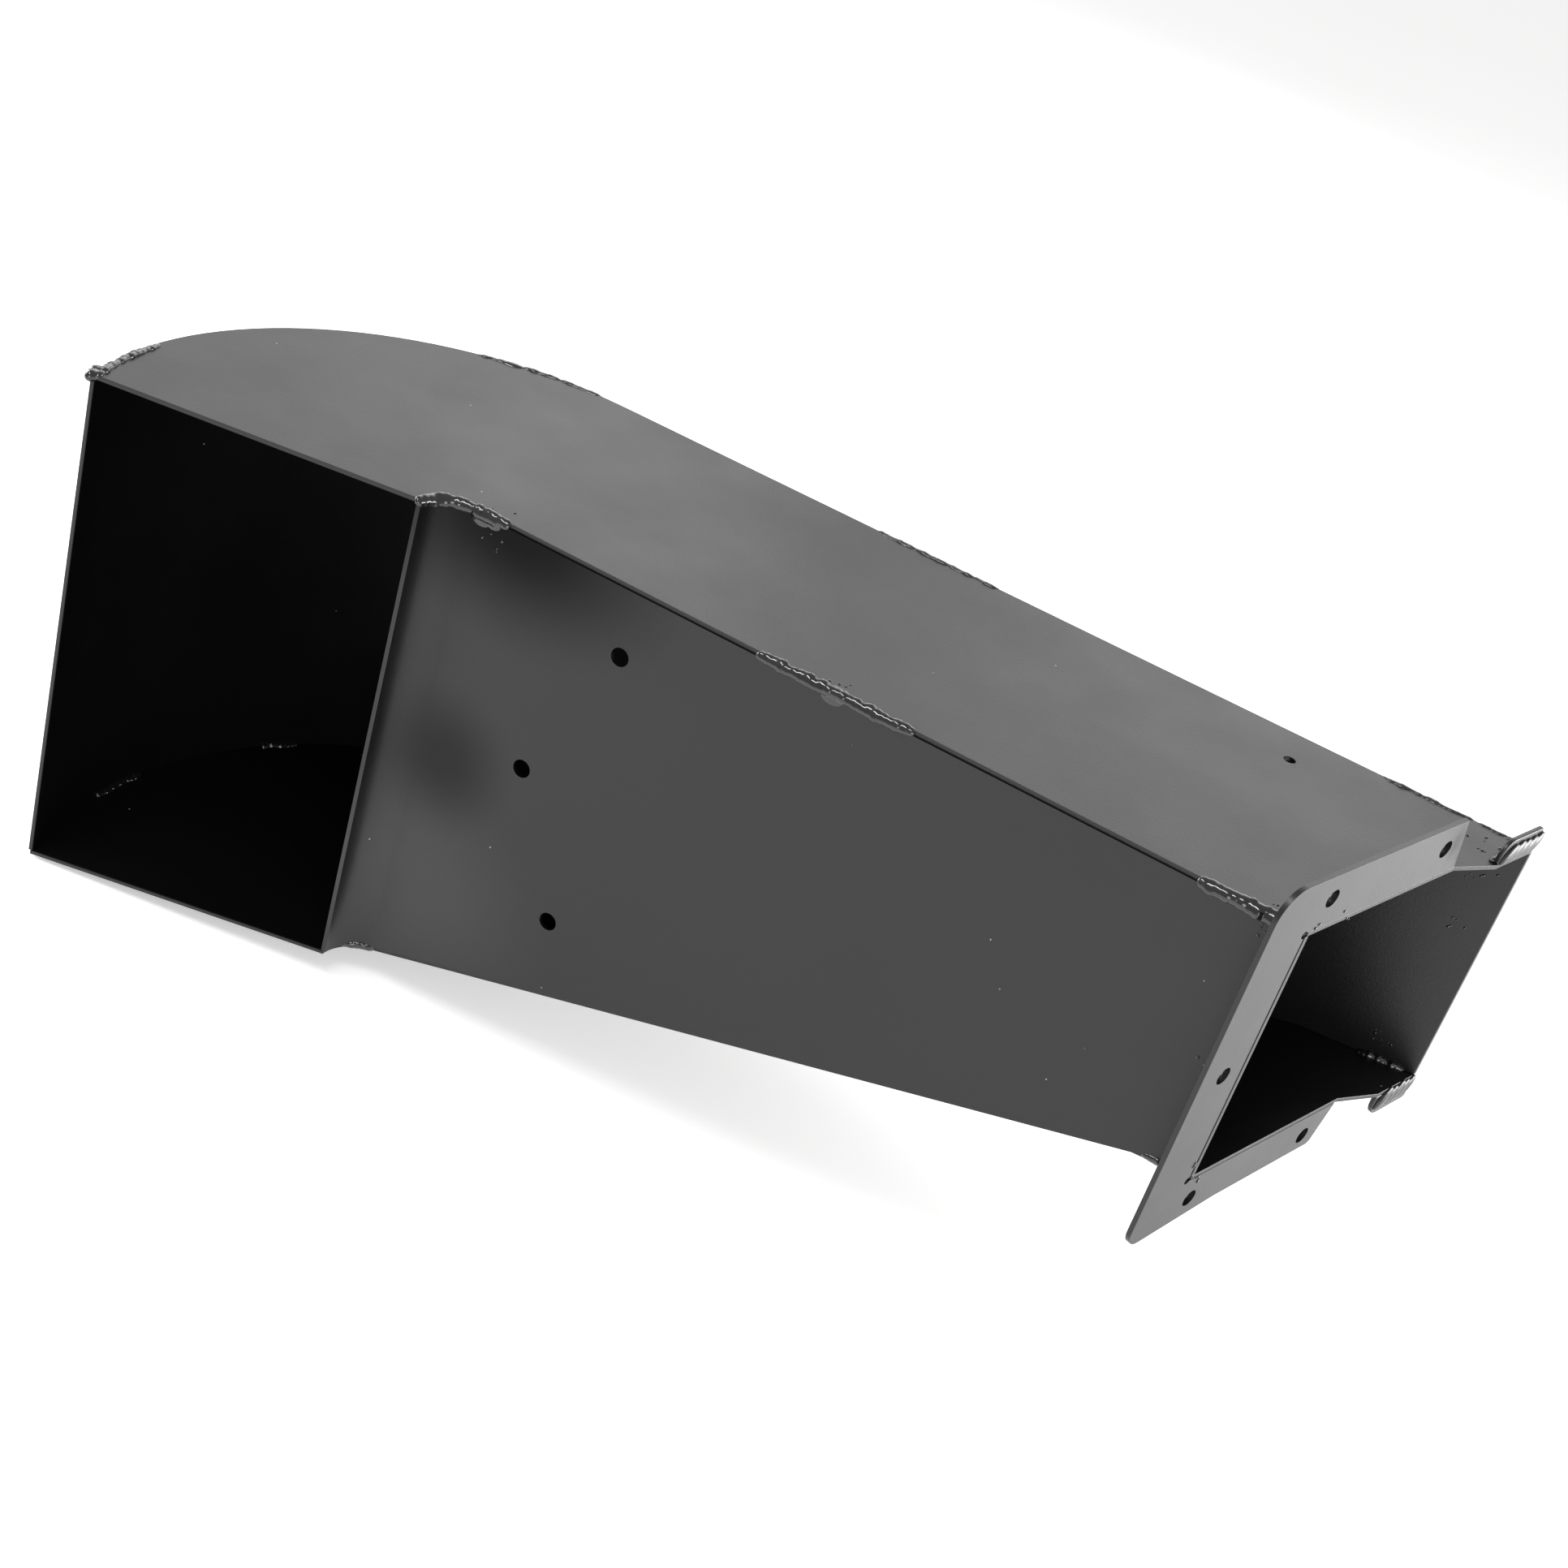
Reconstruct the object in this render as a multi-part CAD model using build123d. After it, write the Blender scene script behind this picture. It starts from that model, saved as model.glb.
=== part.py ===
from build123d import *
import math
import os

# A welded sheet-steel duct: a side inlet, a curved outer wall, a straight
# tapering run and an oblique bolted outlet.  Millimetres, +Z up.
#
# The duct is drawn in its own frame first: X along the run from inlet to
# outlet, Y from the near wall (outer face at 0) to the far wall, Z = 0 on the
# top plate's upper face.  The last step turns and shifts everything so that
# the outlet flange's face is the plane X = 0, its outward normal is +X, and
# the origin is the centre of the flange's four corner holes.

# ---- sheet stock -------------------------------------------------------
SHEET = 2.7            # 12 gauge walls and plates
FLANGE = 2.9           # flange and tabs, near enough the same gauge
SET_BACK = 1.2         # plate edge set back from the wall's outer face
PLATE_V = 2.8          # bottom plate thickness measured straight down

# ---- plan --------------------------------------------------------------
WIDTH = 198.5          # outside the near wall to outside the far wall
OUT_X = 461.0          # near wall reaches the flange face here
ARC_R = 198.0          # outer radius of the far wall's bend
ARC_X = -55.0          # centre of that bend
ARC_Y = WIDTH - ARC_R
LIP_R = 20.0           # concave radius of the near wall's rolled lip
LIP_X = -31.0          # the lip starts here
INLET_SLOPE = 0.225    # inlet plane, from the lip's end
FLANGE_ANGLE = 72.4    # flange plane against the run

# ---- bottom plate: three flats, depth of the lower face = a + b X + c Y --
INLET_FLAT = (304.26, -0.0455, -0.0975)
RUN_FLAT = (294.5, -0.306, 0.08)
OUTLET_FLAT = (203.8, -0.094, 0.0418)

# ---- outlet flange, in its own plane (u along, v up) --------------------
F_LEFT = -38.4
F_TOP = 32.5
F_LOW = -187.6
F_TIP = -192.5
F_KINK = 39.0
F_INNER = 141.0        # strip ends at the duct
F_END_TOP = 130.5      # strip ends at the outer edge
F_END_LOW = 131.0
F_SIDE = -1.6          # cut-out edge beside the near wall
HOLE_U0, HOLE_DU = 10.0, 108.0
HOLE_V0, HOLE_DV = -177.0, 194.5
SIDE_U, SIDE_V = -18.0, -83.5
FLANGE_HOLE = 10.3

# ---- outlet tabs on the far side ----------------------------------------
TAB_STEP = 10.0        # tab face stands this far in front of the flange
TAB_U0, TAB_U1 = 170.0, 211.3
TAB_TALL = 14.0
TAB_CORNER = 5.0

# ---- other holes --------------------------------------------------------
WALL_HOLE = 11.0
WALL_HOLES = [(75.5, -41.5), (35.5, -135.0), (75.5, -219.0)]
TOP_HOLE = 7.1
TOP_HOLE_AT = (400.5, 163.4)

BEAD = 3.6             # weld leg on the outside corners
FILLET = 4.0           # weld leg inside and around the flange
SIDE_FILLET = 9.0      # heavier stitch welds between the near wall and the flange

ANG = math.radians(FLANGE_ANGLE)
ALONG = Vector(math.cos(ANG), math.sin(ANG), 0)
OUTWARD = Vector(math.sin(ANG), -math.cos(ANG), 0)
CORNER = Vector(OUT_X, 0, 0)
DEEP = 420.0
FAR = 1500.0


def at_flange(u, v=0.0, n=0.0):
    return CORNER + ALONG * u + OUTWARD * n + Vector(0, 0, v)


def depth(flat, x, y):
    return flat[0] + flat[1] * x + flat[2] * y


def low_z(x, y):
    """Height of the bottom plate's lower face."""
    return -max(min(depth(INLET_FLAT, x, y), depth(RUN_FLAT, x, y)), depth(OUTLET_FLAT, x, y))


def block_above(flat, lift):
    """Everything above one flat of the bottom plate, lifted by lift."""
    a, b, c = flat
    normal = Vector(b, c, 1).normalized()
    along = Vector(1, 0, -b).normalized()
    base = Plane(origin=Vector(100, 80, -depth(flat, 100, 80) + lift), x_dir=along, z_dir=normal)
    return base * Box(FAR, FAR, FAR / 2, align=(Align.CENTER, Align.CENTER, Align.MIN))


def above_bottom(shape, lift):
    run = shape & block_above(INLET_FLAT, lift) & block_above(RUN_FLAT, lift)
    end = shape & block_above(OUTLET_FLAT, lift)
    return run + end


def behind_flange(n):
    """Everything on the duct's side of the plane n in front of the flange."""
    base = Plane(origin=at_flange(0, 0, n), x_dir=ALONG, z_dir=-OUTWARD)
    return base * Box(FAR, FAR, FAR, align=(Align.CENTER, Align.CENTER, Align.MIN))


def inside_inlet():
    """Everything on the duct's side of the inlet plane."""
    start = Vector(LIP_X - LIP_R - SHEET, -LIP_R, 0)
    line = Vector(-1, -INLET_SLOPE, 0).normalized()
    inward = Vector(-INLET_SLOPE, 1, 0).normalized()
    base = Plane(origin=start, x_dir=line, z_dir=inward)
    return base * Box(FAR, FAR, FAR, align=(Align.CENTER, Align.CENTER, Align.MIN))


def polar(cx, cy, r, degrees):
    a = math.radians(degrees)
    return (cx + r * math.cos(a), cy + r * math.sin(a))


def arc_points(cx, cy, r, a0, a1):
    return [polar(cx, cy, r, a) for a in (a0, (a0 + a1) / 2, a1)]


def inlet_meets(r):
    """Angle, seen from the bend's centre, where a circle of radius r meets the inlet plane."""
    x0, y0 = LIP_X - LIP_R - SHEET - ARC_X, -LIP_R - ARC_Y
    run = math.hypot(1, INLET_SLOPE)
    off = (y0 - INLET_SLOPE * x0) / run
    line = math.degrees(math.atan2(-INLET_SLOPE, -1))
    return line % 360 - math.degrees(math.asin(off / r))


def plan_outline(inset):
    """Outside of the duct in plan, drawn inwards by inset."""
    r = ARC_R - inset
    lip = LIP_R + inset
    tangent = (ARC_X, ARC_Y + r)
    end = at_flange(TAB_U1 + 0.7, 0, TAB_STEP)
    far_y = WIDTH - inset
    far_x = end.X - (end.Y - far_y) * math.cos(ANG) / math.sin(ANG)
    ear0 = at_flange(F_INNER + 1.0, 0, 0)
    ear1 = at_flange(TAB_U0, 0, TAB_STEP)
    near_x = OUT_X + inset * math.cos(ANG) / math.sin(ANG)
    back = arc_points(ARC_X, ARC_Y, r, 90, inlet_meets(r))
    lip_arc = arc_points(LIP_X, -LIP_R, lip, 90, 180)
    rim = (LIP_X - LIP_R - SHEET, -LIP_R)
    edges = [
        ThreePointArc(back[2], back[1], back[0]),
        Line(tangent, (far_x, far_y)),
        Line((far_x, far_y), (ear1.X, ear1.Y)),
        Line((ear1.X, ear1.Y), (ear0.X, ear0.Y)),
        Line((ear0.X, ear0.Y), (near_x, inset)),
        Line((near_x, inset), lip_arc[0]),
        ThreePointArc(lip_arc[0], lip_arc[1], lip_arc[2]),
        Line(rim, back[2]),
    ]
    if inset < SHEET:
        edges.append(Line(lip_arc[2], rim))
    return make_face(edges)


def upright_hole(x, z, d):
    return Pos(x, 0, z) * Rot(90, 0, 0) * Cylinder(d / 2, 40)


def top_plate():
    sheet = Pos(0, 0, -SHEET) * extrude(plan_outline(SET_BACK), SHEET)
    return sheet - Pos(*TOP_HOLE_AT, 0) * Cylinder(TOP_HOLE / 2, 20)


def bottom_plate():
    column = Pos(0, 0, -DEEP) * extrude(plan_outline(SET_BACK), DEEP - 60)
    return above_bottom(column, 0) - above_bottom(column, PLATE_V)


def near_side_wall():
    outer = arc_points(LIP_X, -LIP_R, LIP_R, 90, 180)
    inner = arc_points(LIP_X, -LIP_R, LIP_R + SHEET, 180, 90)
    end = OUT_X + 40
    plan = make_face([
        Line((end, 0), outer[0]),
        ThreePointArc(outer[0], outer[1], outer[2]),
        Line(outer[2], inner[0]),
        ThreePointArc(inner[0], inner[1], inner[2]),
        Line(inner[2], (end, SHEET)),
        Line((end, SHEET), (end, 0)),
    ])
    wall = Pos(0, 0, -DEEP) * extrude(plan, DEEP - SHEET)
    wall = above_bottom(wall & behind_flange(0), PLATE_V)
    for x, z in WALL_HOLES:
        wall -= upright_hole(x, z, WALL_HOLE)
    return wall


def far_side_wall():
    outer = arc_points(ARC_X, ARC_Y, ARC_R, 90, 205)
    inner = arc_points(ARC_X, ARC_Y, ARC_R - SHEET, 205, 90)
    end = OUT_X + 120
    plan = make_face([
        Line((end, WIDTH), outer[0]),
        ThreePointArc(outer[0], outer[1], outer[2]),
        Line(outer[2], inner[0]),
        ThreePointArc(inner[0], inner[1], inner[2]),
        Line(inner[2], (end, WIDTH - SHEET)),
        Line((end, WIDTH - SHEET), (end, WIDTH)),
    ])
    wall = Pos(0, 0, -DEEP) * extrude(plan, DEEP - SHEET)
    return above_bottom(wall & behind_flange(TAB_STEP) & inside_inlet(), PLATE_V)


def cut_out_v(u):
    """Lower edge of the flange's cut-out, just under the bottom plate."""
    p = at_flange(u, 0, -FLANGE)
    return low_z(p.X, p.Y) - 0.05


def outlet_flange():
    plane = Plane(origin=CORNER, x_dir=ALONG, z_dir=OUTWARD)
    outline = Polyline(
        (F_LEFT, F_TOP), (F_END_TOP, F_TOP), (F_INNER, 0), (F_SIDE, 0),
        (F_SIDE, cut_out_v(F_SIDE)), (F_INNER, cut_out_v(F_INNER)),
        (F_END_LOW, F_LOW), (F_KINK, F_LOW), (F_LEFT, F_TIP), close=True)
    face = make_face(outline)
    tops = [v for v in face.vertices() if abs(v.X - F_LEFT) < 0.01 and v.Y > 0]
    face = fillet(tops, 18.0)
    lows = [v for v in face.vertices() if abs(v.X - F_LEFT) < 0.01 and abs(v.Y - F_TIP) < 0.01]
    face = fillet(lows, 11.0)
    ends = [v for v in face.vertices() if abs(v.X - F_END_LOW) < 0.01 and abs(v.Y - F_LOW) < 0.01]
    face = fillet(ends, 4.0)
    for u, v in flange_holes():
        face -= Pos(u, v) * Circle(FLANGE_HOLE / 2)
    # relief notches where the two inner corners of the cut-out were burnt out
    face -= Pos(F_SIDE - 0.6, -1.0) * Circle(2.2)
    face -= Pos(F_SIDE - 0.6, cut_out_v(F_SIDE) + 1.0) * Circle(2.2)
    return plane * extrude(face, -FLANGE)


def flange_holes():
    corners = [(HOLE_U0 + i * HOLE_DU, HOLE_V0 + j * HOLE_DV) for i in (0, 1) for j in (0, 1)]
    return corners + [(SIDE_U, SIDE_V)]


def tab(v0, v1, free_end):
    """A short flange piece; free_end is the v of its rounded edge."""
    plane = Plane(origin=at_flange(0, 0, TAB_STEP), x_dir=ALONG, z_dir=OUTWARD)
    face = make_face(Polyline((TAB_U0, v0), (TAB_U1, v0), (TAB_U1, v1), (TAB_U0, v1), close=True))
    near = [v for v in face.vertices() if abs(v.Y - free_end) < 0.01 and abs(v.X - TAB_U0) < 0.01]
    face = fillet(near, 2 * TAB_CORNER)
    far = [v for v in face.vertices() if abs(v.Y - free_end) < 0.01 and abs(v.X - TAB_U1) < 0.01]
    face = fillet(far, 0.5 * TAB_CORNER)
    return plane * extrude(face, -FLANGE)


def upper_outlet_tab():
    return tab(0, TAB_TALL, TAB_TALL)


def lower_outlet_tab():
    foot = low_z(at_flange(TAB_U0).X, at_flange(TAB_U0).Y)
    blank = tab(foot + 6, foot - TAB_TALL, foot - TAB_TALL)
    return blank - above_bottom(Pos(0, 0, -DEEP) * Box(FAR, FAR, DEEP * 2), 0)


# ---- welds --------------------------------------------------------------

def quarter_bead(p0, p1, out_dir, up_dir, leg):
    """A quarter-round bead from p0 to p1, filling the corner between out_dir and up_dir."""
    run = (p1 - p0)
    plane = Plane(origin=p0, x_dir=out_dir, z_dir=out_dir.cross(up_dir))
    pie = make_face([
        Line((0, 0), (leg, 0)),
        ThreePointArc((leg, 0), (leg * math.sqrt(0.5), leg * math.sqrt(0.5)), (0, leg)),
        Line((0, leg), (0, 0)),
    ])
    return extrude(plane * pie, amount=run.length, dir=run.normalized())


def top_near_bead(x0, x1):
    return quarter_bead(Vector(x0, SET_BACK, -SHEET), Vector(x1, SET_BACK, -SHEET), Vector(0, -1, 0), Vector(0, 0, 1), BEAD)


def top_far_bead(x0, x1):
    y = WIDTH - SET_BACK
    return quarter_bead(Vector(x0, y, -SHEET), Vector(x1, y, -SHEET), Vector(0, 1, 0), Vector(0, 0, 1), BEAD)


def curved_bead(cx, cy, r, a0, a1, outside):
    """A quarter-round bead on the plate's curved edge, from a0 to a1 degrees."""
    s = 1 if outside else -1
    plane = Plane(origin=(cx, cy, -SHEET), x_dir=(math.cos(math.radians(a0)), math.sin(math.radians(a0)), 0),
                  z_dir=(math.sin(math.radians(a0)), -math.cos(math.radians(a0)), 0))
    k = BEAD * math.sqrt(0.5)
    pie = make_face([
        Line((r, 0), (r + s * BEAD, 0)),
        ThreePointArc((r + s * BEAD, 0), (r + s * k, k), (r, BEAD)),
        Line((r, BEAD), (r, 0)),
    ])
    return revolve(plane * pie, Axis((cx, cy, 0), (0, 0, 1)), a1 - a0)


def weld_top_near_inlet():
    roll = curved_bead(LIP_X, -LIP_R, LIP_R + SET_BACK, 90, 172, False)
    return roll + top_near_bead(LIP_X, -10.0)


def weld_top_near_middle():
    return top_near_bead(152.0, 241.0)


def weld_top_near_outlet():
    return top_near_bead(406.0, OUT_X - 4.2)


def weld_top_far_inlet():
    return curved_bead(ARC_X, ARC_Y, ARC_R - SET_BACK, 180.0, 197.0, True)


def weld_top_far_arc():
    return curved_bead(ARC_X, ARC_Y, ARC_R - SET_BACK, 95, 118, True)


def weld_top_far_middle():
    return top_far_bead(124.0, 204.0)


def weld_top_far_outlet():
    return top_far_bead(448.0, 500.0)


def weld_top_far_ear():
    return top_far_bead(502.0, 522.0)


def weld_bottom_near_inlet():
    """A bead under the rolled lip, on the bottom plate's curved edge."""
    r, a0, a1 = LIP_R + SET_BACK, 94.0, 136.0
    q0, q1 = polar(LIP_X, -LIP_R, r, a0), polar(LIP_X, -LIP_R, r, a1)
    z0, z1 = low_z(*q0) + PLATE_V, low_z(*q1) + PLATE_V
    a = math.radians(a0)
    across = Plane(origin=(LIP_X, -LIP_R, min(z0, z1)), x_dir=(math.cos(a), math.sin(a), 0),
                   z_dir=(math.sin(a), -math.cos(a), 0))
    k = BEAD * math.sqrt(0.5)
    pie = make_face([
        Line((r, 0), (r, -BEAD)),
        ThreePointArc((r, -BEAD), (r - k, -k), (r - BEAD, 0)),
        Line((r - BEAD, 0), (r, 0)),
    ])
    return revolve(across * pie, Axis((LIP_X, -LIP_R, 0), (0, 0, 1)), a1 - a0)


def wall_foot(x):
    """Where the near wall's lower edge meets the bottom plate, at the plate's own edge."""
    return Vector(x, SET_BACK, low_z(x, SET_BACK) + PLATE_V)


def weld_bottom_near_outlet():
    p0, p1 = wall_foot(436.0), wall_foot(OUT_X - 4.2)
    down = Vector(0, 1, 0).cross(p1 - p0).normalized()
    if down.Z > 0:
        down = down * -1
    return quarter_bead(p0, p1, Vector(0, -1, 0), down, BEAD)


def seam_rod(p0, p1, r):
    run = p1 - p0
    return Plane(origin=p0, z_dir=run.normalized()) * Cylinder(r, run.length, align=(Align.CENTER, Align.CENTER, Align.MIN))


def duct_inside():
    column = Pos(0, 0, -DEEP) * extrude(plan_outline(SHEET), DEEP - SHEET)
    return above_bottom(column, PLATE_V)


def weld_inside_arc(a0, a1):
    r = ARC_R - SHEET
    q0, q1 = polar(ARC_X, ARC_Y, r, a0), polar(ARC_X, ARC_Y, r, a1)
    p0 = Vector(q0[0], q0[1], low_z(*q0) + PLATE_V)
    p1 = Vector(q1[0], q1[1], low_z(*q1) + PLATE_V)
    return seam_rod(p0, p1, FILLET) & duct_inside()


def weld_inside_inlet_arc():
    return weld_inside_arc(178.5, 169.0)


def weld_inside_back_arc():
    return weld_inside_arc(143.0, 137.0)


def weld_inside_outlet():
    y = WIDTH - SHEET
    p0 = Vector(501.0, y, low_z(501.0, y) + PLATE_V)
    p1 = Vector(526.0, y, low_z(526.0, y) + PLATE_V)
    return seam_rod(p0, p1, FILLET) & duct_inside()


def flange_side_fillet(v0, v1):
    """Fillet between the near wall's outer face and the back of the flange."""
    x = OUT_X - FLANGE / math.sin(ANG)
    back = ALONG * -SIDE_FILLET
    pie = make_face(Polyline((x, 0, v0), (x - SIDE_FILLET, 0, v0),
                             (x + back.X, back.Y, v0), close=True))
    return extrude(pie, amount=v1 - v0, dir=(0, 0, 1))


def weld_flange_side_upper():
    return flange_side_fillet(-80.0, -66.0)


def weld_flange_side_lower():
    return flange_side_fillet(-112.0, -100.0)


def weld_flange_top():
    """Fillet between the top plate and the back of the flange's upper strip."""
    p0 = at_flange(118.0, 0, -FLANGE)
    p1 = at_flange(134.0, 0, -FLANGE)
    return quarter_bead(p0, p1, OUTWARD * -1, Vector(0, 0, 1), FILLET)


def weld_upper_tab():
    """Fillet along the foot of the upper tab, on the plate behind it."""
    p0 = at_flange(TAB_U0 + 2, 0, TAB_STEP - FLANGE)
    p1 = at_flange(TAB_U1 - 4, 0, TAB_STEP - FLANGE)
    return quarter_bead(p0, p1, OUTWARD * -1, Vector(0, 0, 1), FILLET)


def weld_lower_tab():
    """Fillet along the foot of the lower tab, under the plate behind it."""
    p0 = at_flange(TAB_U0 + 2, 0, TAB_STEP - FLANGE)
    p1 = at_flange(TAB_U1 - 4, 0, TAB_STEP - FLANGE)
    p0 = Vector(p0.X, p0.Y, low_z(p0.X, p0.Y))
    p1 = Vector(p1.X, p1.Y, low_z(p1.X, p1.Y))
    bead = seam_rod(p0, p1, FILLET) & behind_flange(TAB_STEP - FLANGE)
    return bead - above_bottom(Pos(0, 0, -DEEP) * Box(FAR, FAR, DEEP * 2), 0)


NODES = {
    "top_plate": top_plate,
    "bottom_plate": bottom_plate,
    "near_side_wall": near_side_wall,
    "far_side_wall": far_side_wall,
    "outlet_flange": outlet_flange,
    "upper_outlet_tab": upper_outlet_tab,
    "lower_outlet_tab": lower_outlet_tab,
    "weld_top_near_inlet": weld_top_near_inlet,
    "weld_top_near_middle": weld_top_near_middle,
    "weld_top_near_outlet": weld_top_near_outlet,
    "weld_top_far_inlet": weld_top_far_inlet,
    "weld_top_far_arc": weld_top_far_arc,
    "weld_top_far_middle": weld_top_far_middle,
    "weld_top_far_outlet": weld_top_far_outlet,
    "weld_top_far_ear": weld_top_far_ear,
    "weld_bottom_near_inlet": weld_bottom_near_inlet,
    "weld_bottom_near_outlet": weld_bottom_near_outlet,
    "weld_inside_inlet_arc": weld_inside_inlet_arc,
    "weld_inside_back_arc": weld_inside_back_arc,
    "weld_inside_outlet": weld_inside_outlet,
    "weld_flange_side_upper": weld_flange_side_upper,
    "weld_flange_side_lower": weld_flange_side_lower,
    "weld_flange_top": weld_flange_top,
    "weld_upper_tab": weld_upper_tab,
    "weld_lower_tab": weld_lower_tab,
}

os.makedirs("parts", exist_ok=True)
datum = at_flange(HOLE_U0 + HOLE_DU / 2, HOLE_V0 + HOLE_DV / 2, 0)
to_row = Rot(0, 0, 90 - FLANGE_ANGLE) * Pos(-datum.X, -datum.Y, -datum.Z)
for name, make in NODES.items():
    shape = to_row * make()
    solids = shape.solids()
    print(name, len(solids), round(sum(s.volume for s in solids), 1))
    export_step(solids[0] if len(solids) == 1 else Compound(children=list(solids)), f"parts/{name}.step")
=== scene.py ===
import math
import random

import bpy
from mathutils import Matrix, Vector


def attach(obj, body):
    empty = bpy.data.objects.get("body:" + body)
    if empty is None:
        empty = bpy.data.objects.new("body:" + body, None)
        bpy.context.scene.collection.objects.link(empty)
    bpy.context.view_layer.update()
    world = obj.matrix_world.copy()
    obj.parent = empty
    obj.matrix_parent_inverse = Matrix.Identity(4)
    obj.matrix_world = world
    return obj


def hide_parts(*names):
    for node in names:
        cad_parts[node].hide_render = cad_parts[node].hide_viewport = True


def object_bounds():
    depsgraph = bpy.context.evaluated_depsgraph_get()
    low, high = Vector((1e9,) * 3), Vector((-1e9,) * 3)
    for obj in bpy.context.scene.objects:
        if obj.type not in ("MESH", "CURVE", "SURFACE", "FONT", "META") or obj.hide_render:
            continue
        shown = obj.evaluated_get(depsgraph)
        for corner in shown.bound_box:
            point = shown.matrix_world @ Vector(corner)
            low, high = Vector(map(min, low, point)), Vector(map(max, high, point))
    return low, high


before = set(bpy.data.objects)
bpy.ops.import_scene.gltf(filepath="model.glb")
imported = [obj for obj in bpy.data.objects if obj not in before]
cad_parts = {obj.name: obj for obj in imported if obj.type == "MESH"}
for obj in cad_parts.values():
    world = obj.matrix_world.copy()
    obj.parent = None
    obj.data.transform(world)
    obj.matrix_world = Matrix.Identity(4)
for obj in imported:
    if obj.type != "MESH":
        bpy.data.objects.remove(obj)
cad_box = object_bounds()
bpy.ops.object.select_all(action="DESELECT")


# ---- Top plate ----
# Flat 12 gauge sheet that closes the duct from above, cut to the plan of the
# bend and the run, with one small hole near the outlet. Its edge sits a little
# inside the walls, and the whole weldment is powder-coated black.

MM = 0.001
DUCT_TURN = math.radians(17.6)  # the duct's run against the frame's X
COAT_IOR = 1.5
DUST = "#a4a4a2"
SHEET_EDGE = 0.45


def linear(hex_colour):
    """An sRGB hex value as linear colour."""
    parts = [int(hex_colour[i:i + 2], 16) / 255 for i in (1, 3, 5)]
    return [p / 12.92 if p <= 0.04045 else ((p + 0.055) / 1.055) ** 2.4 for p in parts] + [1.0]


def new_material(name):
    """A material with nodes, and its shader."""
    material = bpy.data.materials.new(name)
    material.use_nodes = True
    return material, material.node_tree.nodes["Principled BSDF"]


def connect(material, node, links):
    """Links other sockets into a node's inputs."""
    for key, socket in links.items():
        material.node_tree.links.new(socket, node.inputs[key])


def add_node(material, kind, settings=None, links=None):
    """Adds one node, sets its properties and inputs, and links other sockets into it."""
    node = material.node_tree.nodes.new(kind)
    for key, value in (settings or {}).items():
        if isinstance(key, int) or key in node.inputs:
            node.inputs[key].default_value = value
        else:
            setattr(node, key, value)
    connect(material, node, links or {})
    return node


def powder_coat(name, shade, thin_shade, gloss, dull, peel_mm, peel_depth, painted_reflection_patches=()):
    """Baked black polyester powder: semi-gloss with a fine orange peel, a slow drift in
    tone where the powder lay thicker, and a few specks of light dust caught in the film.
    A patch is a blurred ellipse, given by its centre, size and strength, where the specular
    level drops: painted shade for a darker reflection. Below 0 it rises: a painted highlight."""
    coat, shader = new_material(name)
    shader.inputs["IOR"].default_value = COAT_IOR
    place = add_node(coat, "ShaderNodeTexCoord").outputs["Object"]
    # film thickness drifts over about 120 mm
    drift = add_node(coat, "ShaderNodeTexNoise",
                     {"Scale": 1 / (120 * MM), "Detail": 3.0, "Roughness": 0.55}, {"Vector": place})
    tone = add_node(coat, "ShaderNodeMix",
                    {"data_type": "RGBA", 6: linear(shade), 7: linear(thin_shade)},
                    {0: drift.outputs["Fac"]})
    # dust specks of about 0.6 mm, one every 28 mm or so
    grid = add_node(coat, "ShaderNodeTexVoronoi",
                    {"feature": "F1", "Scale": 1 / (28 * MM), "Randomness": 1.0},
                    {"Vector": place})
    dust = add_node(coat, "ShaderNodeMapRange",
                    {"From Min": 0.010, "From Max": 0.022, "To Min": 0.9, "To Max": 0.0},
                    {"Value": grid.outputs["Distance"]})
    dusty = add_node(coat, "ShaderNodeMix", {"data_type": "RGBA", 7: linear(DUST)},
                     {0: dust.outputs[0], 6: tone.outputs[2]})
    # painted reflections: each patch scales the specular level, down for painted shade, up for a
    # painted highlight
    shine = None
    for centre, size, strength in painted_reflection_patches:
        turn = add_node(coat, "ShaderNodeMapping",
                        {"vector_type": "TEXTURE", "Location": centre, "Scale": size,
                         "Rotation": (0, 0, DUCT_TURN)}, {"Vector": place})
        blob = add_node(coat, "ShaderNodeTexGradient", {"gradient_type": "SPHERICAL"},
                        {"Vector": turn.outputs[0]})
        soft = add_node(coat, "ShaderNodeMapRange",
                        {"interpolation_type": "SMOOTHSTEP", "From Min": 0.0, "From Max": 0.9,
                         "To Min": 1.0, "To Max": 1.0 - strength}, {"Value": blob.outputs["Fac"]})
        both = add_node(coat, "ShaderNodeMath", {"operation": "MULTIPLY", 0: 0.5},
                        {1: soft.outputs[0]})
        if shine:
            connect(coat, both, {0: shine})
        shine = both.outputs[0]
    if shine:
        connect(coat, shader, {"Specular IOR Level": shine})
    # the sheen is slightly uneven at the size of a hand
    cloud = add_node(coat, "ShaderNodeTexNoise",
                     {"Scale": 1 / (70 * MM), "Detail": 4.0, "Roughness": 0.6}, {"Vector": place})
    sheen = add_node(coat, "ShaderNodeMapRange",
                     {"From Min": 0.3, "From Max": 0.7, "To Min": gloss, "To Max": dull},
                     {"Value": cloud.outputs["Fac"]})
    # orange peel, drawn a little coarser than the real film so that it shows
    peel = add_node(coat, "ShaderNodeTexNoise",
                    {"Scale": 1 / (peel_mm * MM), "Detail": 2.0, "Roughness": 0.5},
                    {"Vector": place})
    bump = add_node(coat, "ShaderNodeBump", {"Strength": 1.0, "Distance": peel_depth * MM},
                    {"Height": peel.outputs["Fac"]})
    connect(coat, shader, {"Base Color": dusty.outputs[2], "Roughness": sheen.outputs[0],
                           "Normal": bump.outputs[0]})
    return coat


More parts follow.
